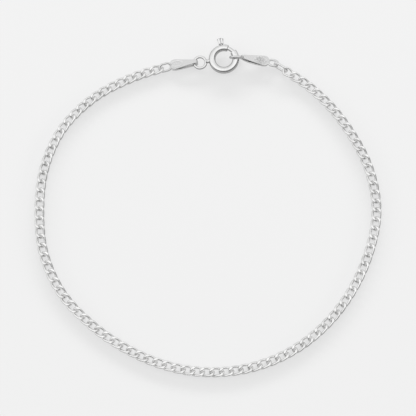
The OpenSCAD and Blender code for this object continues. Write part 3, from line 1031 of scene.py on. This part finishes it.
class BuildLinks(bpy.types.Operator):
    """Builds the upright link and the round link."""

    bl_idname = "bracelet.build_links"
    bl_label = "Small links"

    def execute(self, context):
        scene = context.scene
        link, lay = scene.links, Lay(scene)
        wire = link.wire_d / MM
        material = link_silver(scene.colours)
        upright = wire_oval(lay.upright_a / MM, lay.upright_b / MM, wire)
        matrix = lay.matrix(lay.upright, link.upright_dir, roll=link.upright_roll)
        piece = mesh_object("upright_link_wire", *upright, matrix)
        finish_piece(piece, material, ROOT_BODY, "upright_link")
        twist = {"start": link.round_start, "finish": link.round_twist}
        twisted = wire_oval(lay.round_a / MM, lay.round_b / MM, wire, **twist)
        matrix = lay.matrix(lay.round, link.round_dir, lay.round_pitch)
        piece = mesh_object("round_link_wire", *twisted, matrix)
        finish_piece(piece, material, ROOT_BODY, "round_link")
        return {"FINISHED"}


def strip_light(name, place, wide, high, power):
    """A soft strip that points at the origin and casts shadows, but isn't mirrored in the silver."""
    light = bpy.data.lights.new(name, "AREA")
    light.shape = "RECTANGLE"
    light.size = wide
    light.size_y = high
    light.energy = power
    made = bpy.data.objects.new(name, light)
    made.location = place
    made.rotation_euler = (Vector() - Vector(place)).to_track_quat("-Z", "Y").to_euler()
    made.visible_glossy = False
    bpy.context.scene.collection.objects.link(made)


def sky(strength):
    """A soft dome that leans back and to the left, over walls pale behind and dim in front."""
    world = bpy.data.worlds.new("studio")
    world.use_nodes = True
    tree = Tree(world.node_tree)
    x, y, z = tree.parts(tree.node("ShaderNodeTexCoord", output="Generated"))
    dome = (z - x * DOME_LEFT + y * DOME_BACK).step(*DOME_RANGE)
    dim = 1.0 - y.step(*DIM_RANGE) * DIM_SHARE
    wall = (y * WALL_BACK - x * WALL_LEFT).step(*WALL_RANGE)
    level = dome * dim + (1.0 - dome) * (wall * WALL_LIGHT + WALL_BASE)
    values = {"Color": (1, 1, 1, 1), "Strength": level * strength}
    background = tree.node("ShaderNodeBackground", {}, values)
    tree.node("ShaderNodeOutputWorld", {}, {"Surface": background})
    return world


class BuildStage(bpy.types.Operator):
    """Builds the floor, the lights and the camera."""

    bl_idname = "bracelet.build_stage"
    bl_label = "Stage"

    def execute(self, context):
        scene = context.scene
        stage = scene.stage
        half = stage.floor_w / 2
        corners = [(-half, -half, 0), (half, -half, 0), (half, half, 0), (-half, half, 0)]
        mesh = bpy.data.meshes.new("floor")
        mesh.from_pydata(corners, [], [(0, 1, 2, 3)])
        mesh.materials.append(floor_panel(scene.colours, stage.glow))
        floor = bpy.data.objects.new("floor", mesh)
        floor.location.z = -stage.floor_drop
        scene.collection.objects.link(floor)

        scene.world = sky(stage.sky)
        strip_light("back", stage.key_place, stage.key_w, stage.key_h, stage.key)
        x, y, z = stage.side_place
        for side in (-1, 1):
            strip_light("side", (side * x, y, z), stage.side_w, stage.side_h, stage.side)

        back = Vector((0, -cos(stage.elevation), sin(stage.elevation)))
        data = bpy.data.cameras.new("camera")
        data.lens = stage.lens
        data.clip_start = stage.clip_near
        camera = bpy.data.objects.new("camera", data)
        camera.location = Vector(stage.aim) + stage.distance * back
        camera.rotation_euler = (pi / 2 - stage.elevation, 0, 0)
        scene.collection.objects.link(camera)
        scene.camera = camera
        scene.view_settings.view_transform = "Standard"
        return {"FINISHED"}


class BraceletPanel(bpy.types.Panel):
    """Lists the steps that build the bracelet."""

    bl_idname = "VIEW3D_PT_bracelet"
    bl_label = "Bracelet"
    bl_space_type = "VIEW_3D"
    bl_region_type = "UI"
    bl_category = "Bracelet"

    def draw(self, context):
        for operator in OPERATORS:
            self.layout.operator(operator.bl_idname)


GROUPS = {
    "chain": ChainSizes,
    "clasp": ClaspSizes,
    "tabs": TabSizes,
    "links": LinkSizes,
    "colours": FinishColours,
    "stage": StageSizes,
}
OPERATORS = (BuildChain, BuildSpringRing, BuildTrigger, BuildTabs, BuildLinks, BuildStage)


def register():
    for name, group in GROUPS.items():
        bpy.utils.register_class(group)
        setattr(bpy.types.Scene, name, bpy.props.PointerProperty(type=group))
    for operator in OPERATORS:
        bpy.utils.register_class(operator)
    bpy.utils.register_class(BraceletPanel)


def unregister():
    bpy.utils.unregister_class(BraceletPanel)
    for operator in reversed(OPERATORS):
        bpy.utils.unregister_class(operator)
    for name, group in GROUPS.items():
        delattr(bpy.types.Scene, name)
        bpy.utils.unregister_class(group)


def main():
    """Builds every piece."""
    register()
    for operator in OPERATORS:
        getattr(bpy.ops.bracelet, operator.bl_idname.split(".")[1])()


if __name__ == "__main__":
    main()
